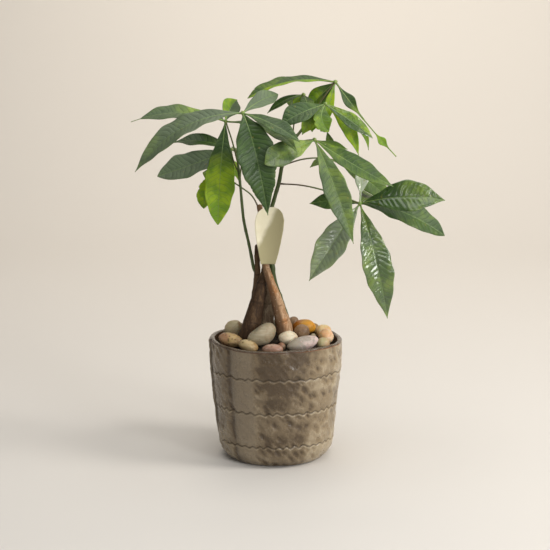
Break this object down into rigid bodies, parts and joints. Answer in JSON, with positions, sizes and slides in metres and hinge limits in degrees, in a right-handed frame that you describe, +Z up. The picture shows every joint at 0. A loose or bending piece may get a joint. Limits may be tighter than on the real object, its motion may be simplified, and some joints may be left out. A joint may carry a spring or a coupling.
{
  "type": "potted money tree",
  "caption": "Small money tree with leaning swollen trunks and palmate leaves, in a round hand-built glazed stoneware pot topped with river pebbles, with a blank paper tag.",
  "frame": {"origin": "middle of the pot's flat underside, where the pot stands", "axes": "+Z up along the plant, +X to the viewer's right in front view, +Y to the back"},
  "size_m": [0.3175, 0.1546, 0.3934],
  "materials": {
    "glazed_stoneware": "gloss",
    "bark": "matte",
    "green_stem": "satin",
    "leaf": "satin",
    "potting_soil": "matte",
    "tag_paper": "matte",
    "pebble_pale": "satin",
    "pebble_grey": "satin",
    "pebble_ochre": "satin",
    "pebble_rose": "satin",
    "pebble_lilac": "satin",
    "pebble_amber": "satin",
    "pebble_brown": "satin",
    "pebble_peach": "satin"
  },
  "bodies": {
    "root": {"pot": "glazed_stoneware", "trunk_front_left": "bark", "trunk_front_right": "bark", "trunk_middle": "bark", "trunk_back_left": "bark", "trunk_back_right": "green_stem", "shoot_left": "green_stem", "shoot_right": "green_stem", "leaf_left_hanging": "leaf", "leaf_left_lower": "leaf", "leaf_left_inner": "leaf", "leaf_front_left": "leaf", "leaf_top": "leaf", "leaf_upper_right": "leaf", "leaf_front_right": "leaf", "leaf_right": "leaf", "leaf_upper_middle": "leaf", "leaf_back_right": "leaf", "soil": "potting_soil", "pebble_grey_green": "pebble_grey", "pebble_speckled": "pebble_ochre", "pebble_tan": "pebble_ochre", "pebble_pale_large": "pebble_pale", "pebble_white_egg": "pebble_pale", "pebble_pink": "pebble_rose", "pebble_lilac": "pebble_lilac", "pebble_amber": "pebble_amber", "pebble_brown_grey": "pebble_brown", "pebble_pale_yellow": "pebble_peach", "pebble_peach": "pebble_peach", "pebble_greenish": "pebble_pale", "pebble_dark": "pebble_brown", "pebble_middle": "pebble_grey", "pebble_inner_brown": "pebble_brown", "pebble_inner_grey": "pebble_grey", "pebble_inner_tan": "pebble_ochre", "pebble_back_1": "pebble_ochre", "pebble_back_2": "pebble_grey", "pebble_back_3": "pebble_pale", "pebble_back_4": "pebble_brown", "pebble_back_5": "pebble_ochre", "pebble_back_6": "pebble_grey", "pebble_small_1": "pebble_ochre", "pebble_small_2": "pebble_grey", "pebble_small_3": "pebble_pale", "pebble_small_4": "pebble_brown", "pebble_small_5": "pebble_ochre", "pebble_small_6": "pebble_grey", "pebble_small_7": "pebble_pale", "pebble_small_8": "pebble_brown", "paper_tag": "tag_paper"}
  },
  "joints": []
}
